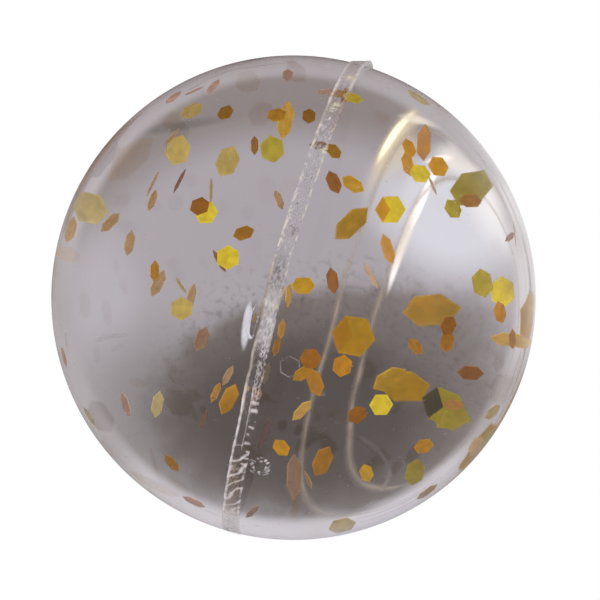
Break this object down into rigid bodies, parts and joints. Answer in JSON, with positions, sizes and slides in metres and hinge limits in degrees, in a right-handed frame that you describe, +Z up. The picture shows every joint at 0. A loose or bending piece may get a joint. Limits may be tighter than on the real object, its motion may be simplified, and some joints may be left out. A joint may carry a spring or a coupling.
{
  "type": "bouncy ball",
  "caption": "Clear round rubber ball with gold hexagonal glitter flakes cured inside it and a low trimmed flash along its mould line; thrown by hand, it bounces.",
  "frame": {"origin": "centre of the ball", "axes": "+X is the direction in which the mould opens, so the parting plane is X = 0; +Z is up, where the flash stands highest; -Y is the front"},
  "size_m": [0.032, 0.0326, 0.0326],
  "materials": {
    "clear_rubber": "clear gloss, faint lilac grey",
    "flash_rubber": "torn and trimmed, frosty",
    "gold_flake": "metallised gold film"
  },
  "bodies": {
    "root": {"left_half": "clear_rubber", "right_half": "clear_rubber", "flash_ring": "flash_rubber", "flakes_upper_left_near": "gold_flake", "flakes_upper_left_mid": "gold_flake", "flakes_upper_left_deep": "gold_flake", "flakes_upper_right_near": "gold_flake", "flakes_upper_right_mid": "gold_flake", "flakes_upper_right_deep": "gold_flake", "flakes_middle_left_near": "gold_flake", "flakes_middle_left_mid": "gold_flake", "flakes_middle_left_deep": "gold_flake", "flakes_middle_right_near": "gold_flake", "flakes_middle_right_mid": "gold_flake", "flakes_middle_right_deep": "gold_flake", "flakes_lower_left_near": "gold_flake", "flakes_lower_left_mid": "gold_flake", "flakes_lower_left_deep": "gold_flake", "flakes_lower_right_near": "gold_flake", "flakes_lower_right_mid": "gold_flake", "flakes_lower_right_deep": "gold_flake"}
  },
  "joints": []
}
